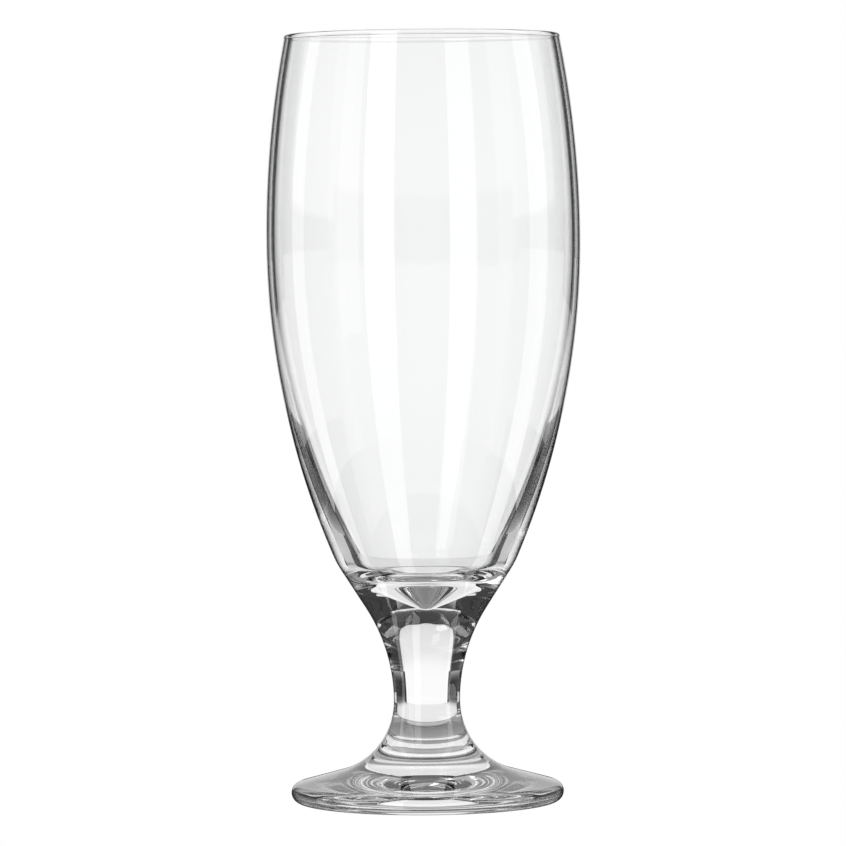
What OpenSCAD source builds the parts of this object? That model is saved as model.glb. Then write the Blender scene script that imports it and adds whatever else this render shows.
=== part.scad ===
// Footed pilsner glass: a blown bowl fused to a pressed stem, which is fused to a pressed foot.
// Millimetres, +Z up. The origin is the centre of the flat ring that the glass stands on.
// Every piece is a revolve. Its profile is drawn with the radius along X and the height along Y.

/* [Bowl] */
// Height of the glass, from the table to the top of the rim
height = 190; // [180:0.5:200]
// Outer diameter of the rim, over its bead
rim_d = 68.4; // [64:0.2:72]
// Diameter of the fire-polished bead round the rim
bead_d = 1.5; // [1.4:0.05:1.8]
// Thickness of the wall just under the bead
rim_wall = 1.2; // [1:0.05:1.3]
// Outer diameter of the belly, the widest part of the bowl
belly_d = 77.8; // [76:0.2:82]
// Height of the belly above the table
belly_z = 139.5; // [134:0.5:146]
// Thickness of the wall at the belly
belly_wall = 1.5; // [1.2:0.05:1.8]
// Height from the seam with the stem up to the corner where the taper would meet the side
heel_h = 11; // [9:0.1:13]
// Radius of the heel, which rounds that corner
heel_r = 21; // [15:1:30]
// Thickness of the base, from the seam with the stem up to the inside floor
base_t = 8.4; // [7.6:0.1:9.4]
// Thickness of the side wall, measured level where it starts to turn into the floor
base_wall = 4.8; // [4:0.1:5.6]
// Radius between the inside wall and the floor
corner_r = 8; // [6:0.1:9]
// Diameter of the dimple in the middle of the inside floor, where its flank would meet the floor
dimple_d = 18; // [14:0.2:20]
// Depth of the dimple below the inside floor
dimple_h = 5.6; // [4.6:0.1:6.6]
// Radius of the dimple's rounded lip
dimple_lip_r = 4; // [2:0.1:5]
// Radius of the dimple's rounded tip
dimple_tip_r = 2.5; // [1.5:0.1:3.5]

/* [Stem] */
// Diameter of the stem at its waist
waist_d = 16.4; // [14:0.2:19]
// Height of the waist above the table
waist_z = 25; // [24:0.2:26]
// Radius of the sweep from the waist up to the bowl
sweep_r = 43; // [40:0.5:45]
// Angle between the upright and the taper that the sweep runs into
taper = 32.7; // [31:0.1:35]

/* [Foot] */
// Diameter of the foot
foot_d = 67.6; // [64:0.2:74]
// Radius of the flare from the waist down to the foot's sloped top
flare_r = 18; // [15:0.5:19]
// Thickness of the foot's rounded edge
edge_h = 4.8; // [4:0.1:5.4]
// Height of the seam where the stem is fused to the foot
foot_seat_z = 14.5; // [12:0.5:17]
// Width of the flat ring that the foot stands on
ring_w = 4; // [2:0.1:5]
// Height of the hollow under the foot
hollow_h = 2.2; // [1:0.1:3.5]

/* [Hidden] */
$fa = 1;
$fs = 0.15;
turn_fn = 144;
// Arcs that run into each other are lapped by this much, so that they cross at one clean point.
lap = 0.002;
// Cuts run past the face they open by this much.
past = 1;

// Radius of the arc that leaves an upright line and has moved in by sag after the height run.
// It is kept to whole microns, so that two arcs meet exactly where both are upright.
function arc_radius(sag, run) = round((sag * sag + run * run) / (2 * sag) * 1000) / 1000;

// Stem. The seam with the bowl is where the sweep runs out into the taper.
waist_r = waist_d / 2;
sweep_c = [waist_r + sweep_r, waist_z];
flare_c = [waist_r + flare_r, waist_z];
along_taper = [sin(taper), cos(taper)];
off_taper = [cos(taper), -sin(taper)];
bowl_seat = sweep_c - sweep_r * off_taper;

// Bowl, outside. Its side runs from the belly down to the corner that the heel rounds.
belly_r = belly_d / 2;
bead_r = bead_d / 2;
bead_c = [rim_d / 2 - bead_r, height - bead_r];
shoulder_h = bead_c[1] - belly_z;
shoulder_r = arc_radius(belly_r - bead_c[0] - rim_wall / 2, shoulder_h);
heel_corner = bowl_seat + heel_h / along_taper[1] * along_taper;
side_r = arc_radius(belly_r - heel_corner[0], belly_z - heel_corner[1]);
side_c = [belly_r - side_r, belly_z];

// Bowl, inside
cup_r = belly_r - belly_wall;
cup_shoulder_r = arc_radius(cup_r - bead_c[0] + rim_wall / 2, shoulder_h);
floor_z = bowl_seat[1] + base_t;
base_z = floor_z + corner_r;
base_r = side_c[0] + sqrt(side_r * side_r - pow(belly_z - base_z, 2)) - base_wall;
cup_side_r = arc_radius(cup_r - base_r, belly_z - base_z);
cup_side_c = [cup_r - cup_side_r, belly_z];
corner_c_z = base_z - lap;
corner_reach = cup_side_r - corner_r + lap;
corner_c = [cup_side_c[0] + sqrt(pow(corner_reach, 2) - pow(belly_z - corner_c_z, 2)), corner_c_z];
corner_top_z = corner_c_z + (corner_c_z - belly_z) / corner_reach * corner_r;

// Dimple. Its flank touches the round tip and, but for the lip, would meet the floor at a corner.
tip_c = [0, floor_z - dimple_h + dimple_tip_r];
lip = [dimple_d / 2, floor_z];
flank_a = atan2(lip[1] - tip_c[1], lip[0]) + asin((dimple_tip_r - lap) / norm(lip - tip_c));
off_flank = [sin(flank_a), -cos(flank_a)];
// The lip is no rounder than the floor has room for.
lip_r = min(dimple_lip_r, (corner_c[0] - lip[0]) / tan(flank_a / 2));
lip_c = lip + (lip_r - lap) * [tan(flank_a / 2), -1];

// Heel. Its arc touches the taper below and the side above.
heel_reach = side_r - heel_r + lap;
heel_from = bowl_seat - (heel_r - lap) * off_taper;
heel_run = (heel_from - side_c) * along_taper;
heel_gap = (heel_from - side_c) * (heel_from - side_c) - heel_reach * heel_reach;
heel_c = heel_from + (sqrt(heel_run * heel_run - heel_gap) - heel_run) * along_taper;
heel_low_z = heel_c[1] + heel_r * off_taper[1];
heel_top_z = heel_c[1] + heel_r * (heel_c[1] - side_c[1]) / heel_reach;

// Foot. Its sloped top is the line that touches both the flare and the round edge.
edge_r = edge_h / 2;
edge_c = [foot_d / 2 - edge_r, edge_r - lap];
edge_to_flare = flare_c - edge_c;
slope_turn = acos((flare_r + edge_r - 2 * lap) / norm(edge_to_flare));
slope_a = atan2(edge_to_flare[1], edge_to_flare[0]) - slope_turn;
off_slope = [cos(slope_a), sin(slope_a)];
hollow_mouth_r = edge_c[0] - ring_w;
hollow_r = arc_radius(hollow_h, hollow_mouth_r);

module disc(centre, r) {
    translate(centre) circle(r);
}

// Everything from the axis out to r, between two heights
module band(r, low, high) {
    translate([0, low]) square([r, high - low]);
}

module bowl_outside() {
    intersection() {
        band(belly_d, belly_z, bead_c[1]);
        disc([belly_r - shoulder_r, belly_z], shoulder_r);
    }
    intersection() {
        // All that lies inside the taper
        taper_top = bowl_seat + (belly_z - bowl_seat[1]) / along_taper[1] * along_taper;
        polygon([[0, bowl_seat[1]], bowl_seat, taper_top, [0, belly_z]]);
        disc(side_c, side_r);
        union() {
            disc(heel_c, heel_r);
            band(belly_d, bowl_seat[1] - past, heel_low_z);
            band(belly_d, heel_top_z, belly_z + past);
        }
    }
}

module dimple() {
    tip_edge = tip_c + (dimple_tip_r - lap) * off_flank;
    lip_edge = lip_c - (lip_r - lap) * off_flank;
    difference() {
        polygon([tip_c, tip_edge, lip_edge, [lip_c[0], floor_z],
                 [lip_c[0], floor_z + past], [0, floor_z + past]]);
        disc(lip_c, lip_r);
    }
    intersection() {
        disc(tip_c, dimple_tip_r);
        band(dimple_d, tip_c[1] - dimple_tip_r - past, tip_c[1]);
    }
}

module bowl_inside() {
    intersection() {
        band(belly_d, belly_z, height + past);
        disc([cup_r - cup_shoulder_r, belly_z], cup_shoulder_r);
    }
    intersection() {
        band(belly_d, corner_top_z, belly_z);
        disc(cup_side_c, cup_side_r);
    }
    intersection() {
        band(belly_d, floor_z, belly_z);
        union() {
            disc(corner_c, corner_r);
            band(corner_c[0], floor_z, corner_top_z + past);
        }
    }
    dimple();
}

module bowl() {
    color("aliceblue", 0.35)
    rotate_extrude($fn = turn_fn) {
        difference() {
            bowl_outside();
            bowl_inside();
        }
        disc(bead_c, bead_r);
    }
}

module stem() {
    color("lightblue", 0.35)
    rotate_extrude($fn = turn_fn) {
        difference() {
            band(sweep_c[0], waist_z, bowl_seat[1]);
            disc(sweep_c, sweep_r);
        }
        difference() {
            band(flare_c[0], foot_seat_z, waist_z);
            disc(flare_c, flare_r);
        }
    }
}

module foot() {
    slope_in = flare_c - (flare_r - lap) * off_slope;
    slope_out = edge_c + (edge_r - lap) * off_slope;
    color("powderblue", 0.35)
    rotate_extrude($fn = turn_fn)
    difference() {
        intersection() {
            band(foot_d, 0, foot_seat_z);
            union() {
                polygon([[0, -past], [edge_c[0], -past], edge_c, slope_out, slope_in,
                         [flare_c[0], foot_seat_z + past], [0, foot_seat_z + past]]);
                disc(edge_c, edge_r);
            }
        }
        disc(flare_c, flare_r);
        disc([0, hollow_h - hollow_r], hollow_r);
    }
}

bowl();
stem();
foot();
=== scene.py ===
"""Footed pilsner glass: a blown bowl, a pressed stem and a pressed foot, fused at two seams.

Sizes in the classes are millimetres and degrees, as in the part's source. Meshes are in metres.
"""

import logging
import math
from dataclasses import dataclass, field
from enum import Enum
from typing import ClassVar

import bpy
from mathutils import Matrix, Vector


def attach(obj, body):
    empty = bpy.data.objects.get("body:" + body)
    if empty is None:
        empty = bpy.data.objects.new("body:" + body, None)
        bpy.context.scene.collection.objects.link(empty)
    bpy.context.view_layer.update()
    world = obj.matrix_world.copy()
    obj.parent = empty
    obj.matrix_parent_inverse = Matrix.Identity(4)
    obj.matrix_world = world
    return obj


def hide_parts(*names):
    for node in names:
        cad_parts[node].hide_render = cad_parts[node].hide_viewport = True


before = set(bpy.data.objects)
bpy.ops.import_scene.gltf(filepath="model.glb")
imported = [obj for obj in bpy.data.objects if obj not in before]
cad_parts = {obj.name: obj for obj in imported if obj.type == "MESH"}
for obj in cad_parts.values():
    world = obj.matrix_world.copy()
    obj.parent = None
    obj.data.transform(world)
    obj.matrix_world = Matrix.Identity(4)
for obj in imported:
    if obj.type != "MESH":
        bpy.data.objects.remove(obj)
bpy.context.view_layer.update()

log = logging.getLogger("pilsner_glass")

MM = 0.001
BODY = "root"

Point = tuple[float, float]
Triple = tuple[float, float, float]
Colour = tuple[float, float, float, float]


def polar(centre: Point, radius: float, angle: float) -> Point:
    """The point at that radius and angle, in degrees, from a centre.

    Args:
        centre: Radius and height of the centre.
        radius: Distance from the centre.
        angle: Degrees from the outward direction, positive upwards.

    Returns:
        Radius and height of the point.
    """
    turn = math.radians(angle)
    return (centre[0] + radius * math.cos(turn), centre[1] + radius * math.sin(turn))


def bearing(centre: Point, point: Point) -> float:
    """The angle of a point seen from a centre, in degrees.

    Args:
        centre: Radius and height of the centre.
        point: Radius and height of the point.

    Returns:
        Degrees from the outward direction, positive upwards.
    """
    return math.degrees(math.atan2(point[1] - centre[1], point[0] - centre[0]))


def arc_radius(sag: float, run: float) -> float:
    """Radius of the arc that leaves an upright line and has moved in by sag after the height run.

    Args:
        sag: How far the arc moves in.
        run: The height over which it does so.

    Returns:
        The radius.
    """
    return (sag * sag + run * run) / (2 * sag)


class Pen:
    """Draws a profile in the upright X-Z plane, then turns it round the Z axis into a mesh."""

    arc_step: float = 4.0
    length_step: float = 2.0
    turn_steps: int = 256
    merge_reach: float = 4e-7
    smooth_angle: float = math.radians(28)

    def __init__(self, name: str, start: Point) -> None:
        """Puts the pen down.

        Args:
            name: Name of the object that the profile becomes.
            start: Radius and height of the first point.
        """
        bpy.ops.object.select_all(action="DESELECT")
        bpy.ops.mesh.primitive_plane_add(size=MM)
        self.piece = bpy.context.object
        self.piece.name = name
        self.piece.data.name = name
        bpy.ops.object.mode_set(mode="EDIT")
        bpy.ops.mesh.select_all(action="SELECT")
        bpy.ops.mesh.merge(type="CENTER")
        bpy.ops.transform.translate(value=(start[0] * MM, 0, start[1] * MM))
        self.place = start

    def line(self, end: Point, steps: int = 1) -> None:
        """Draws a straight line.

        Args:
            end: Radius and height of its end.
            steps: Number of edges that it is made of.
        """
        move = ((end[0] - self.place[0]) / steps * MM, 0, (end[1] - self.place[1]) / steps * MM)
        for _ in range(steps):
            bpy.ops.mesh.extrude_region_move(TRANSFORM_OT_translate={"value": move})
        self.place = end

    def arc(self, centre: Point, end_angle: float) -> None:
        """Draws an arc of less than half a turn round a centre.

        Args:
            centre: Radius and height of the arc's centre.
            end_angle: Bearing of the arc's end from its centre, in degrees.
        """
        radius = math.dist(centre, self.place)
        sweep = (end_angle - bearing(centre, self.place) + 180) % 360 - 180
        length = math.radians(abs(sweep)) * radius
        steps = max(2, math.ceil(abs(sweep) / self.arc_step), math.ceil(length / self.length_step))
        bpy.ops.mesh.spin(steps=steps, angle=math.radians(sweep), axis=(0, 1, 0),
                          center=(centre[0] * MM, 0, centre[1] * MM))
        self.place = polar(centre, radius, end_angle)

    def turn(self) -> bpy.types.Object:
        """Turns the profile all the way round into a closed, smooth mesh.

        Returns:
            The object.
        """
        bpy.ops.mesh.select_all(action="SELECT")
        bpy.ops.mesh.spin(steps=self.turn_steps, angle=math.tau, axis=(0, 0, 1), center=(0, 0, 0))
        bpy.ops.mesh.select_all(action="SELECT")
        bpy.ops.mesh.remove_doubles(threshold=self.merge_reach)
        bpy.ops.mesh.normals_make_consistent(inside=False)
        bpy.ops.object.mode_set(mode="OBJECT")
        bpy.ops.object.shade_smooth_by_angle(angle=self.smooth_angle)
        return self.piece

    def sweep(self, first: float, last: float) -> bpy.types.Object:
        """Sweeps the profile part of the way round.

        Args:
            first: Azimuth where the sweep starts, 0 towards the camera and positive to its right.
            last: Azimuth where it ends.

        Returns:
            The object, with its turn applied to its mesh.
        """
        steps = max(2, math.ceil((last - first) / self.arc_step))
        bpy.ops.mesh.select_all(action="SELECT")
        bpy.ops.mesh.spin(steps=steps, angle=math.radians(last - first), axis=(0, 0, -1), center=(0, 0, 0))
        bpy.ops.object.mode_set(mode="OBJECT")
        self.piece.rotation_euler = (0, 0, math.radians(first - 90))
        bpy.ops.object.transform_apply(location=False, rotation=True, scale=False)
        return self.piece


class Seen(Enum):
    """What may see a stage object."""

    BY_CAMERA = "camera"
    IN_GLASS = "refraction and reflection"
    THROUGH_GLASS = "refraction alone"
    ON_GLASS = "reflection alone"


class Nodes:
    """A small helper that adds and links the nodes of one tree."""

    def __init__(self, tree: bpy.types.NodeTree) -> None:
        """Starts on an emptied tree."""
        self.tree = tree
        tree.nodes.clear()

    def add(self, kind: str, **values: object) -> bpy.types.Node:
        """Adds a node.

        Args:
            kind: The node's type.
            values: Its settings.

        Returns:
            The node.
        """
        node = self.tree.nodes.new(kind)
        for key, value in values.items():
            setattr(node, key, value)
        return node

    def link(self, source: bpy.types.NodeSocket, target: bpy.types.NodeSocket) -> None:
        """Links an output to an input."""
        self.tree.links.new(source, target)


class Ripple:
    """Node group: the slow waver that blown or pressed glass keeps, and a slower cloud for its tint."""

    name: str = "glass_ripple"
    waver_scale: float = 1.0
    waver_detail: float = 1.0
    cloud_scale: float = 0.4
    cloud_detail: float = 2.0

    @classmethod
    def group(cls) -> bpy.types.NodeTree:
        """Builds the group once.

        Returns:
            The group.
        """
        made = bpy.data.node_groups.get(cls.name)
        if made:
            return made
        tree = bpy.data.node_groups.new(cls.name, "ShaderNodeTree")
        nodes = Nodes(tree)
        face = tree.interface
        face.new_socket("Vector", in_out="INPUT", socket_type="NodeSocketVector")
        face.new_socket("Waves", in_out="INPUT", socket_type="NodeSocketVector")
        face.new_socket("Height", in_out="OUTPUT", socket_type="NodeSocketFloat")
        face.new_socket("Cloud", in_out="OUTPUT", socket_type="NodeSocketFloat")
        taken = nodes.add("NodeGroupInput")
        given = nodes.add("NodeGroupOutput")
        stretch = nodes.add("ShaderNodeVectorMath", operation="MULTIPLY")
        nodes.link(taken.outputs["Vector"], stretch.inputs[0])
        nodes.link(taken.outputs["Waves"], stretch.inputs[1])
        waver = nodes.add("ShaderNodeTexNoise")
        waver.inputs["Scale"].default_value = cls.waver_scale
        waver.inputs["Detail"].default_value = cls.waver_detail
        nodes.link(stretch.outputs[0], waver.inputs["Vector"])
        cloud = nodes.add("ShaderNodeTexNoise")
        cloud.inputs["Scale"].default_value = cls.cloud_scale
        cloud.inputs["Detail"].default_value = cls.cloud_detail
        nodes.link(stretch.outputs[0], cloud.inputs["Vector"])
        nodes.link(waver.outputs["Fac"], given.inputs["Height"])
        nodes.link(cloud.outputs["Fac"], given.inputs["Cloud"])
        return tree


@dataclass(frozen=True)
class ClearGlass:
    """Clear soda glass, with a faint waver, a faint tint and painted shade: a dark outline painted into its
    colour where it is seen edge on.
    """

    name: str
    waves: Triple
    waver: float
    worn_below: float = 0.0
    worn: float = 0.0
    ior: float = 1.5
    clear: Colour = (1.0, 1.0, 1.0, 1.0)
    tinted: Colour = (0.985, 0.992, 0.99, 1.0)
    # Painted shade: the dark colour painted into the glass where it is seen edge on, and the facing range
    # over which it comes in
    edge: Colour = (0.01, 0.01, 0.01, 1.0)
    painted_edge_turn: Point = (0.65, 0.85)

    def material(self) -> bpy.types.Material:
        """Builds the node material.

        Returns:
            The material.
        """
        made = bpy.data.materials.new(self.name)
        made.use_nodes = True
        nodes = Nodes(made.node_tree)
        out = nodes.add("ShaderNodeOutputMaterial")
        glass = nodes.add("ShaderNodeBsdfPrincipled")
        nodes.link(glass.outputs[0], out.inputs[0])
        glass.inputs["IOR"].default_value = self.ior
        glass.inputs["Transmission Weight"].default_value = 1.0
        glass.inputs["Roughness"].default_value = 0.0
        place = nodes.add("ShaderNodeTexCoord")
        ripple = nodes.add("ShaderNodeGroup", node_tree=Ripple.group())
        ripple.inputs["Waves"].default_value = self.waves
        nodes.link(place.outputs["Object"], ripple.inputs["Vector"])
        bump = nodes.add("ShaderNodeBump")
        bump.inputs["Distance"].default_value = self.waver * MM
        nodes.link(ripple.outputs["Height"], bump.inputs["Height"])
        nodes.link(bump.outputs[0], glass.inputs["Normal"])
        tint = nodes.add("ShaderNodeMix", data_type="RGBA")
        tint.inputs["A"].default_value = self.clear
        tint.inputs["B"].default_value = self.tinted
        nodes.link(ripple.outputs["Cloud"], tint.inputs["Factor"])
        # Painted shade: a dark outline where the glass is seen edge on
        self._paint_edge_shade(nodes, tint.outputs["Result"], glass)
        if self.worn:
            self._wear(nodes, place, glass)
        return made

    def _paint_edge_shade(self, nodes: Nodes, colour: bpy.types.NodeSocket, glass: bpy.types.Node) -> None:
        """Paints shade into the glass's colour where its surface is seen edge on, which gives it a dark
        outline on top of the dark surroundings that it shows.

        Args:
            nodes: The material's nodes.
            colour: The colour of the glass seen face on.
            glass: Its shader.
        """
        # Painted shade: the glass colour goes dark as its surface turns edge on to the view
        turned = nodes.add("ShaderNodeLayerWeight")
        rim = nodes.add("ShaderNodeMapRange", interpolation_type="SMOOTHSTEP")
        rim.inputs["From Min"].default_value = self.painted_edge_turn[0]
        rim.inputs["From Max"].default_value = self.painted_edge_turn[1]
        nodes.link(turned.outputs["Facing"], rim.inputs["Value"])
        mixed = nodes.add("ShaderNodeMix", data_type="RGBA")
        mixed.inputs["B"].default_value = self.edge
        nodes.link(rim.outputs["Result"], mixed.inputs["Factor"])
        nodes.link(colour, mixed.inputs["A"])
        nodes.link(mixed.outputs["Result"], glass.inputs["Base Color"])

    def _wear(self, nodes: Nodes, place: bpy.types.Node, glass: bpy.types.Node) -> None:
        """Dulls the glass below a height, where it has rubbed on tables.

        Args:
            nodes: The material's nodes.
            place: Its texture coordinates.
            glass: Its shader.
        """
        split = nodes.add("ShaderNodeSeparateXYZ")
        nodes.link(place.outputs["Object"], split.inputs[0])
        low = nodes.add("ShaderNodeMapRange")
        low.inputs["From Min"].default_value = 0.0
        low.inputs["From Max"].default_value = self.worn_below * MM
        low.inputs["To Min"].default_value = self.worn
        low.inputs["To Max"].default_value = 0.0
        nodes.link(split.outputs["Z"], low.inputs["Value"])
        nodes.link(low.outputs["Result"], glass.inputs["Roughness"])


@dataclass(frozen=True)
class FusedSeam:
    """The face where two gathers of glass have run together, which no light sees."""

    name: str = "fused_seam"

    def material(self) -> bpy.types.Material:
        """Builds the wholly see-through material.

        Returns:
            The material.
        """
        made = bpy.data.materials.new(self.name)
        made.use_nodes = True
        shader = made.node_tree.nodes["Principled BSDF"]
        shader.inputs["Alpha"].default_value = 0.0
        return made


@dataclass(frozen=True)
class Glow:
    """A surface of even brightness, or one that changes with the distance from its object's origin."""

    name: str
    value: float
    far_value: float | None = None
    reach: Point = (0.0, 1.0)
    along: Triple = (1.0, 1.0, 0.0)

    def material(self) -> bpy.types.Material:
        """Builds the material.

        Returns:
            The material.
        """
        made = bpy.data.materials.new(self.name)
        made.use_nodes = True
        made.cycles.emission_sampling = "NONE"
        nodes = Nodes(made.node_tree)
        out = nodes.add("ShaderNodeOutputMaterial")
        glow = nodes.add("ShaderNodeEmission")
        glow.inputs["Strength"].default_value = self.value
        nodes.link(glow.outputs[0], out.inputs[0])
        if self.far_value is not None:
            self._fade(nodes, glow)
        return made

    def _fade(self, nodes: Nodes, glow: bpy.types.Node) -> None:
        """Lets the brightness change smoothly with the distance along the chosen directions.

        Args:
            nodes: The material's nodes.
            glow: Its shader.
        """
        place = nodes.add("ShaderNodeTexCoord")
        along = nodes.add("ShaderNodeVectorMath", operation="MULTIPLY")
        along.inputs[1].default_value = self.along
        away = nodes.add("ShaderNodeVectorMath", operation="LENGTH")
        fade = nodes.add("ShaderNodeMapRange", interpolation_type="SMOOTHSTEP")
        fade.inputs["From Min"].default_value = self.reach[0] * MM
        fade.inputs["From Max"].default_value = self.reach[1] * MM
        fade.inputs["To Min"].default_value = self.value
        fade.inputs["To Max"].default_value = self.far_value
        nodes.link(place.outputs["Object"], along.inputs[0])
        nodes.link(along.outputs[0], away.inputs[0])
        nodes.link(away.outputs["Value"], fade.inputs["Value"])
        nodes.link(fade.outputs["Result"], glow.inputs["Strength"])


@dataclass
class TurnedPiece:
    """A piece of glass that is one profile turned round the axis."""

    name: str
    finish: ClearGlass
    seam: bpy.types.Material
    seam_reach: ClassVar[float] = 0.01
    level_normal: ClassVar[float] = 0.9999

    def draw(self) -> bpy.types.Object:
        """Draws and turns the profile. Each piece has its own."""
        raise NotImplementedError

    def seams(self) -> tuple[float, ...]:
        """Heights of the flat faces where the piece is fused to its neighbours."""
        return ()

    def dress(self, piece: bpy.types.Object) -> None:
        """Gives the glass its finish and the fused faces theirs.

        Args:
            piece: The turned object.
        """
        piece.data.materials.append(self.finish.material())
        piece.data.materials.append(self.seam)
        reach = self.seam_reach * MM
        for face in piece.data.polygons:
            level = abs(face.normal.z) > self.level_normal
            at_seam = any(abs(face.center.z - height * MM) < reach for height in self.seams())
            face.material_index = 1 if level and at_seam else 0

    def build(self) -> bpy.types.Object:
        """Makes the piece, dresses it and sets it on the frame.

        Returns:
            The finished object.
        """
        piece = self.draw()
        self.dress(piece)
        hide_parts(self.name.removesuffix("_glass"))
        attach(piece, BODY)
        return piece


@dataclass
class Stem(TurnedPiece):
    """The pressed stem: a waist with a long sweep up to the bowl and a short flare down to the foot."""

    waist_d: float = 16.4
    waist_z: float = 25.0
    sweep_r: float = 43.0
    taper: float = 32.7
    flare_r: float = 18.0
    foot_seat_z: float = 14.5

    @property
    def sweep_c(self) -> Point:
        """Centre of the sweep."""
        return (self.waist_d / 2 + self.sweep_r, self.waist_z)

    @property
    def flare_c(self) -> Point:
        """Centre of the flare."""
        return (self.waist_d / 2 + self.flare_r, self.waist_z)

    @property
    def bowl_seat(self) -> Point:
        """Edge of the seam with the bowl, where the sweep runs out into the taper."""
        return polar(self.sweep_c, self.sweep_r, 180 - self.taper)

    @property
    def foot_seat_r(self) -> float:
        """Radius of the seam with the foot."""
        drop = self.waist_z - self.foot_seat_z
        return self.flare_c[0] - math.sqrt(self.flare_r**2 - drop**2)

    def seams(self) -> tuple[float, ...]:
        """Heights of both seams."""
        return (self.bowl_seat[1], self.foot_seat_z)

    def draw(self) -> bpy.types.Object:
        """Draws the stem from the bowl's seam down to the foot's, and turns it.

        Returns:
            The turned object.
        """
        seat = self.bowl_seat
        pen = Pen(self.name, (0, seat[1]))
        pen.line(seat, steps=4)
        pen.arc(self.sweep_c, 180)
        pen.arc(self.flare_c, bearing(self.flare_c, (self.foot_seat_r, self.foot_seat_z)))
        pen.line((0, self.foot_seat_z), steps=4)
        return pen.turn()


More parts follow.
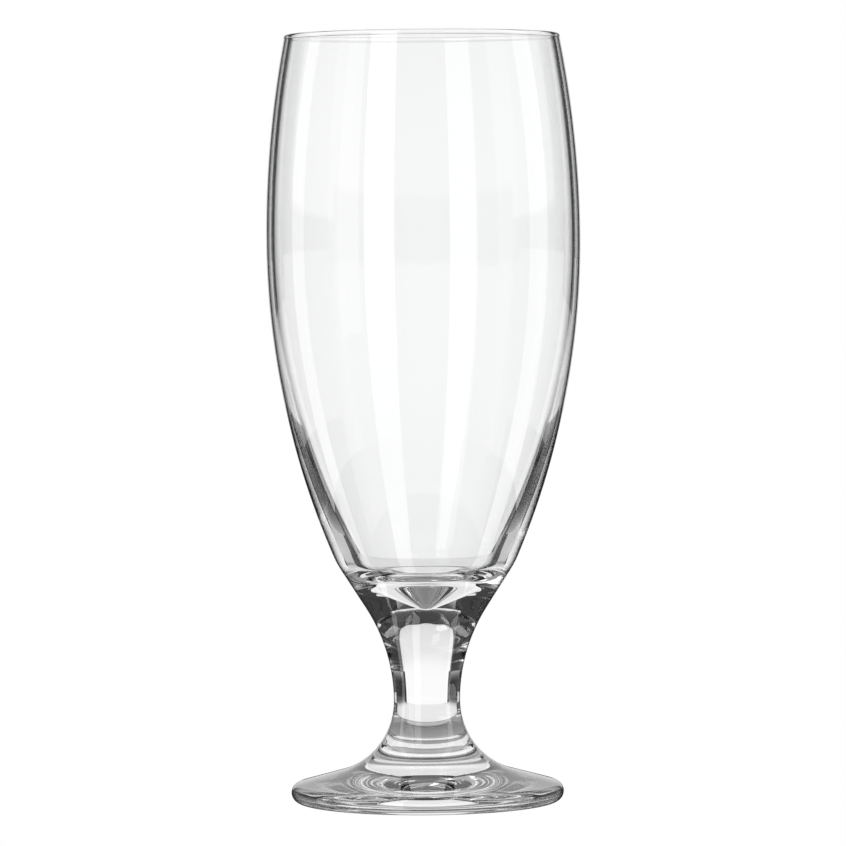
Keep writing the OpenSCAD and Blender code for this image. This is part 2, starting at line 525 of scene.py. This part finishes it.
@dataclass
class Bowl(TurnedPiece):
    """The blown bowl: a beaded rim, a wall that thickens downwards and a thick, dimpled base."""

    stem: Stem
    height: float = 190.0
    rim_d: float = 68.4
    bead_d: float = 1.5
    rim_wall: float = 1.2
    belly_d: float = 77.8
    belly_z: float = 139.5
    belly_wall: float = 1.5
    heel_h: float = 11.0
    heel_r: float = 21.0
    base_t: float = 8.4
    base_wall: float = 4.8
    corner_r: float = 8.0
    dimple_d: float = 18.0
    dimple_h: float = 5.6
    dimple_lip_r: float = 4.0
    dimple_tip_r: float = 2.5

    @property
    def bead_c(self) -> Point:
        """Centre of the bead's section."""
        return (self.rim_d / 2 - self.bead_d / 2, self.height - self.bead_d / 2)

    @property
    def side_r(self) -> float:
        """Radius of the side, from the belly down to the corner of the heel.

        Returns:
            The radius.
        """
        seat = self.stem.bowl_seat
        heel_in = seat[0] + self.heel_h * math.tan(math.radians(self.stem.taper))
        return arc_radius(self.belly_d / 2 - heel_in, self.belly_z - seat[1] - self.heel_h)

    @property
    def side_c(self) -> Point:
        """Centre of the side."""
        return (self.belly_d / 2 - self.side_r, self.belly_z)

    @property
    def floor_z(self) -> float:
        """Height of the inside floor."""
        return self.stem.bowl_seat[1] + self.base_t

    def seams(self) -> tuple[float, ...]:
        """Height of the seam with the stem."""
        return (self.stem.bowl_seat[1],)

    def heel_c(self) -> Point:
        """Centre of the heel, whose arc touches the taper below and the side above.

        Returns:
            Radius and height of the centre.
        """
        taper = math.radians(self.stem.taper)
        along = Vector((math.sin(taper), math.cos(taper)))
        off = Vector((math.cos(taper), -math.sin(taper)))
        start = Vector(self.stem.bowl_seat) - self.heel_r * off - Vector(self.side_c)
        run = start.dot(along)
        gap = start.length_squared - (self.side_r - self.heel_r) ** 2
        centre = Vector(self.side_c) + start + (math.sqrt(run * run - gap) - run) * along
        return (centre.x, centre.y)

    def bead_meet(self, centre: Point, radius: float) -> Point:
        """Where a wall arc runs into the bead from below.

        Args:
            centre: Centre of the wall's arc.
            radius: Its radius.

        Returns:
            Radius and height of the meeting point.
        """
        gap = math.dist(centre, self.bead_c)
        bead_r = self.bead_d / 2
        along = (gap * gap + radius * radius - bead_r * bead_r) / (2 * gap)
        across = math.sqrt(radius * radius - along * along)
        turn = math.degrees(math.atan2(across, along))
        return polar(centre, radius, bearing(centre, self.bead_c) - turn)

    def draw(self) -> bpy.types.Object:
        """Draws the bowl from the seam up the outside, over the rim and down the inside, and turns it.

        Returns:
            The turned object.
        """
        seat = self.stem.bowl_seat
        pen = Pen(self.name, (0, seat[1]))
        pen.line(seat, steps=4)
        self._outside(pen)
        self._inside(pen)
        self._dimple(pen)
        return pen.turn()

    def _outside(self, pen: Pen) -> None:
        """Draws the taper, heel, side and shoulder, and the outer half of the bead.

        Args:
            pen: The pen, at the seam's edge.
        """
        heel = self.heel_c()
        pen.line(polar(heel, self.heel_r, -self.stem.taper), steps=2)
        pen.arc(heel, bearing(self.side_c, heel))
        pen.arc(self.side_c, 0)
        sag = self.belly_d / 2 - self.bead_c[0] - self.rim_wall / 2
        radius = arc_radius(sag, self.bead_c[1] - self.belly_z)
        shoulder = (self.belly_d / 2 - radius, self.belly_z)
        meet = self.bead_meet(shoulder, radius)
        pen.arc(shoulder, bearing(shoulder, meet))
        pen.arc(self.bead_c, 90)

    def _inside(self, pen: Pen) -> None:
        """Draws the inner half of the bead and the cup down to the edge of its floor.

        Args:
            pen: The pen, at the top of the bead.
        """
        cup_r = self.belly_d / 2 - self.belly_wall
        sag = cup_r - self.bead_c[0] + self.rim_wall / 2
        radius = arc_radius(sag, self.bead_c[1] - self.belly_z)
        shoulder = (cup_r - radius, self.belly_z)
        meet = self.bead_meet(shoulder, radius)
        pen.arc(self.bead_c, bearing(self.bead_c, meet))
        pen.arc(shoulder, 0)
        base_z = self.floor_z + self.corner_r
        drop = self.belly_z - base_z
        base_r = self.side_c[0] + math.sqrt(self.side_r**2 - drop**2) - self.base_wall
        side_r = arc_radius(cup_r - base_r, drop)
        side_c = (cup_r - side_r, self.belly_z)
        reach = side_r - self.corner_r
        corner = (side_c[0] + math.sqrt(reach**2 - drop**2), base_z)
        pen.arc(side_c, bearing(side_c, corner))
        pen.arc(corner, -90)

    def _dimple(self, pen: Pen) -> None:
        """Draws the floor, and the dimple with its rounded lip and tip, in to the axis.

        Args:
            pen: The pen, at the edge of the floor.
        """
        tip = (0.0, self.floor_z - self.dimple_h + self.dimple_tip_r)
        lip = (self.dimple_d / 2, self.floor_z)
        slope = bearing(tip, lip) + math.degrees(math.asin(self.dimple_tip_r / math.dist(tip, lip)))
        back = self.dimple_lip_r * math.tan(math.radians(slope / 2))
        lip_c = (lip[0] + back, lip[1] - self.dimple_lip_r)
        pen.line((lip_c[0], self.floor_z), steps=3)
        pen.arc(lip_c, 90 + slope)
        pen.line(polar(tip, self.dimple_tip_r, slope - 90), steps=4)
        pen.arc(tip, -90)


@dataclass
class Foot(TurnedPiece):
    """The pressed foot: a flared, sloped top, a round edge, a flat standing ring and a hollow underside."""

    stem: Stem
    foot_d: float = 67.6
    edge_h: float = 4.8
    ring_w: float = 4.0
    hollow_h: float = 2.2

    def seams(self) -> tuple[float, ...]:
        """Height of the seam with the stem."""
        return (self.stem.foot_seat_z,)

    def draw(self) -> bpy.types.Object:
        """Draws the foot from the seam out over its top and back under it, and turns it.

        Returns:
            The turned object.
        """
        stem = self.stem
        edge_r = self.edge_h / 2
        edge_c = (self.foot_d / 2 - edge_r, edge_r)
        reach = math.dist(edge_c, stem.flare_c)
        slope = bearing(edge_c, stem.flare_c) - math.degrees(math.acos((stem.flare_r + edge_r) / reach))
        mouth_r = edge_c[0] - self.ring_w
        hollow_r = arc_radius(self.hollow_h, mouth_r)
        hollow_c = (0.0, self.hollow_h - hollow_r)
        pen = Pen(self.name, (0, stem.foot_seat_z))
        pen.line((stem.foot_seat_r, stem.foot_seat_z), steps=4)
        pen.arc(stem.flare_c, slope - 180)
        pen.line(polar(edge_c, edge_r, slope), steps=6)
        pen.arc(edge_c, -90)
        pen.line((mouth_r, 0), steps=3)
        pen.arc(hollow_c, 90)
        return pen.turn()


@dataclass(frozen=True)
class Panel:
    """An upright curved panel. Azimuths are 0 towards the camera and positive to its right."""

    glow: Glow
    span: Point
    heights: Point
    away: float
    seen: Seen = Seen.IN_GLASS


@dataclass(frozen=True)
class Patch:
    """A level ring of the table, or part of one, which is seen through the glass."""

    glow: Glow
    span: Point
    radii: Point
    level: float = 0.0


# Azimuths that more than one panel or patch takes up
ALL_ROUND: Point = (-180, 180)
BEHIND: Point = (151, 209)
IN_FRONT: Point = (-75, 75)
LEFT_STRIP: Point = (-43, -21)

# Level of the far table, which lies a little under the nearer patches
FAR_LEVEL = -0.4

# Directions along which a brightness changes
UPWARDS: Triple = (0, 0, 1)
SIDEWAYS: Triple = (1, 0, 0)

LIGHTS = (
    Panel(Glow("strip_light", 2.6), LEFT_STRIP, (-2000, 1600), 1000, Seen.ON_GLASS),
    Panel(Glow("strip_light_through", 2.0), LEFT_STRIP, (-700, 1600), 1000, Seen.THROUGH_GLASS),
    Panel(Glow("strip_narrow", 1.6), (-65, -47), (-100, 1600), 1000, Seen.ON_GLASS),
    Panel(Glow("strip_side", 2.2), (-91.5, -79.5), (-60, 700), 95, Seen.ON_GLASS),
    Panel(Glow("strip_right", 2.2), (68, 84.5), (-60, 700), 95, Seen.ON_GLASS),
    Panel(Glow("fill_left", 0.9), (-118, -52), (70, 400), 96, Seen.ON_GLASS),
    Panel(Glow("fill_right", 0.9), (45, 118), (70, 400), 96, Seen.ON_GLASS),
    Panel(Glow("fill_front", 0.35), IN_FRONT, (0, 2000), 2000),
    Panel(Glow("fill_front_low", 0.85), IN_FRONT, (-1500, 0), 2000),
)

FAR_TABLE = (
    Patch(Glow("table_far", 1.0), BEHIND, (0, 5000), FAR_LEVEL),
    Patch(Glow("table_far_right", 0.95, 0.5, (500, 1200)), (128, 151), (0, 1200), FAR_LEVEL),
    Patch(Glow("table_side_right", 0.95, 0.8, (700, 3000)), (60, 128), (0, 5000), FAR_LEVEL),
    Patch(Glow("table_far_left", 0.95, 0.5, (500, 1200)), (-151, -128), (0, 1200), FAR_LEVEL),
    Patch(Glow("table_side_left", 0.95, 0.8, (700, 3000)), (-128, -60), (0, 5000), FAR_LEVEL),
)

# Painted shade of the table near the glass: darker under the foot, with a dark painted contact shadow ring
# round the foot's edge; the patches at the sides are dark too
NEAR_TABLE = (
    Patch(Glow("table_near", 0.3, 0.8, (80, 260)), (-60, 60), (65, 300)),
    Patch(Glow("table_front", 0.5), (-20, 20), (34, 65)),
    Patch(Glow("table_right", 0.05), (20, 130), (34, 150)),
    Patch(Glow("table_left", 0.05), (230, 340), (34, 150)),
    Patch(Glow("table_under_shade", 0.2, 0.45, (0, 33)), ALL_ROUND, (0, 34)),
    Patch(Glow("table_contact_shadow", 0.1), ALL_ROUND, (33.5, 37), 0.1),
)


@dataclass
class Studio:
    """The white sweep, black cards, strip lights and table round the glass, and the camera."""

    eye: Triple = (0.0, -1256.3, 140.4)
    aim: Triple = (-0.44, 0.0, 93.9)
    roll: float = -0.46
    focal_px: float = 5075.6
    frame_px: float = 846.0
    sensor: float = 36.0
    clip_end: float = 100000.0
    bounces: int = 24
    ambient: float = 0.05
    room_r: float = 8000.0
    sweep_away: float = 1200.0
    sweep_h: float = 1080.0
    card_x: float = 101.0
    card_back: float = 178.0
    card_gap_x: float = 86.0
    low_card_h: float = 60.0
    low_card_run: float = 108.0
    high_card_h: float = 700.0
    high_card_run: float = 70.0
    between_run: float = 238.0
    between_level: float = -0.2
    made: list[bpy.types.Object] = field(default_factory=list)

    def build(self) -> None:
        """Sets up the camera, the surroundings and the way the picture is shown."""
        self._camera()
        self._world()
        self._sweep()
        self._cards()
        for panel in LIGHTS:
            self._panel(panel)
        self._table()

    def _camera(self) -> None:
        """Places the camera at the photograph's angle."""
        eye = Vector(self.eye) * MM
        look = (Vector(self.aim) * MM - eye).to_track_quat("-Z", "Y").to_matrix().to_4x4()
        roll = Matrix.Rotation(math.radians(self.roll), 4, "Z")
        bpy.ops.object.camera_add()
        camera = bpy.context.object
        camera.name = "camera"
        camera.matrix_world = Matrix.Translation(eye) @ look @ roll
        camera.data.sensor_width = self.sensor
        camera.data.lens = self.sensor * self.focal_px / self.frame_px
        camera.data.clip_end = self.clip_end * MM
        bpy.context.scene.camera = camera

    def _world(self) -> None:
        """Sets the soft light that comes from all round, and how the picture is shown."""
        scene = bpy.context.scene
        scene.view_settings.view_transform = "Standard"
        scene.cycles.max_bounces = self.bounces
        scene.cycles.glossy_bounces = self.bounces
        scene.cycles.transmission_bounces = self.bounces
        scene.cycles.transparent_max_bounces = self.bounces
        world = bpy.data.worlds.new("soft_room")
        world.use_nodes = True
        scene.world = world
        sky = world.node_tree.nodes["Background"]
        sky.inputs["Color"].default_value = (1.0, 1.0, 1.0, 1.0)
        sky.inputs["Strength"].default_value = self.ambient

    def _show(self, obj: bpy.types.Object, glow: Glow, seen: Seen) -> None:
        """Lights a stage object and says what sees it.

        Args:
            obj: The object.
            glow: Its brightness.
            seen: What may see it.
        """
        obj.data.materials.append(glow.material())
        obj.visible_camera = seen is Seen.BY_CAMERA
        obj.visible_glossy = seen in (Seen.IN_GLASS, Seen.ON_GLASS)
        obj.visible_transmission = seen in (Seen.IN_GLASS, Seen.THROUGH_GLASS)
        obj.visible_diffuse = False
        obj.visible_shadow = False
        self.made.append(obj)

    def _panel(self, panel: Panel) -> None:
        """Adds an upright curved panel.

        Args:
            panel: The panel's place and brightness.
        """
        low, high = panel.heights
        pen = Pen(panel.glow.name, (panel.away, low))
        pen.line((panel.away, high))
        self._show(pen.sweep(*panel.span), panel.glow, panel.seen)

    def _patch(self, patch: Patch) -> None:
        """Adds a level ring of the table, or part of one.

        Args:
            patch: The patch's place and brightness.
        """
        inner, outer = patch.radii
        pen = Pen(patch.glow.name, (inner, patch.level))
        pen.line((outer, patch.level))
        self._show(pen.sweep(*patch.span), patch.glow, Seen.THROUGH_GLASS)

    def _plate(self, middle: Triple, size: Point, turn: Triple, glow: Glow, seen: Seen) -> None:
        """Adds a flat plate, whose origin stays at its middle.

        Args:
            middle: Where its middle is.
            size: Its two sides before it is turned.
            turn: Its rotation about X, Y and Z, in degrees.
            glow: Its brightness.
            seen: What may see it.
        """
        bpy.ops.object.select_all(action="DESELECT")
        bpy.ops.mesh.primitive_plane_add(size=MM, location=Vector(middle) * MM)
        plate = bpy.context.object
        plate.name = glow.name
        plate.scale = (size[0], size[1], 1)
        plate.rotation_euler = [math.radians(angle) for angle in turn]
        bpy.ops.object.transform_apply(location=False, rotation=True, scale=True)
        self._show(plate, glow, seen)

    def _sweep(self) -> None:
        """Adds the white floor and surround that the camera sees, and the sweep behind the glass."""
        bpy.ops.object.select_all(action="DESELECT")
        bpy.ops.mesh.primitive_circle_add(vertices=96, radius=self.room_r * MM, fill_type="NGON")
        floor = bpy.context.object
        floor.name = "pale_floor"
        self._show(floor, Glow("pale_floor", 1.0), Seen.BY_CAMERA)
        surround = Glow("white_surround", 1.0)
        self._panel(Panel(surround, ALL_ROUND, (0, self.room_r), self.room_r, Seen.BY_CAMERA))
        sweep = Glow("white_sweep", 1.0, 0.85, (150, 400), UPWARDS)
        self._panel(Panel(sweep, BEHIND, (0, self.sweep_h), self.sweep_away))

    def _cards(self) -> None:
        """Adds the black cards at both sides.

        The low ones are seen in and through the glass and are greyer towards their edges. The high ones
        are only mirrored in it.
        """
        for name, side, black in (("card_right", 1, 0.02), ("card_left", -1, 0.03)):
            low = Glow(name + "_low", black, 0.9, (10, 55), UPWARDS)
            self._card(low, side, self.low_card_h, self.low_card_run, Seen.IN_GLASS)
            high = Glow(name + "_high", black)
            self._card(high, side, self.high_card_h, self.high_card_run, Seen.ON_GLASS)

    def _card(self, glow: Glow, side: int, height: float, run: float, seen: Seen) -> None:
        """Adds a card beside the glass, with a narrow return at its back end.

        Args:
            glow: Its brightness.
            side: 1 for the right side and -1 for the left.
            height: Its height.
            run: Its length, forwards from its back end.
            seen: What may see it.
        """
        middle = (side * self.card_x, self.card_back - run / 2, height / 2)
        self._plate(middle, (height, run), (0, 90, 0), glow, seen)
        middle = (side * (self.card_x + self.card_gap_x) / 2, self.card_back, height / 2)
        size = (self.card_x - self.card_gap_x, height)
        self._plate(middle, size, (90, 0, 0), Glow(glow.name + "_return", glow.value), seen)

    def _table(self) -> None:
        """Adds what the glass shows of the table: pale far off, and shaded between the cards and near it."""
        for patch in FAR_TABLE:
            self._patch(patch)
        middle = (0, self.card_back - self.between_run / 2, self.between_level)
        size = (2 * self.card_x, self.between_run)
        shade = Glow("table_between", 0.86, 0.55, (55, 96), SIDEWAYS)
        self._plate(middle, size, (0, 0, 0), shade, Seen.THROUGH_GLASS)
        for patch in NEAR_TABLE:
            self._patch(patch)


def main() -> None:
    """Builds the stem, the bowl and the foot, and the studio round them."""
    logging.basicConfig(level=logging.INFO, format="%(message)s")
    blown = ClearGlass("blown_glass", waves=(55.0, 55.0, 12.0), waver=0.01)
    pressed = ClearGlass("pressed_glass", waves=(90.0, 90.0, 60.0), waver=0.004)
    standing = ClearGlass("pressed_glass_worn", waves=pressed.waves, waver=pressed.waver,
                          worn_below=0.05, worn=0.2)
    seam = FusedSeam().material()
    stem = Stem("stem_glass", pressed, seam)
    bowl = Bowl("bowl_glass", blown, seam, stem)
    foot = Foot("foot_glass", standing, seam, stem)
    for piece in (stem, bowl, foot):
        made = piece.build()
        log.info("%s: %d faces", made.name, len(made.data.polygons))
    studio = Studio()
    studio.build()
    log.info("studio: %d objects", len(studio.made))


if __name__ == "__main__":
    main()
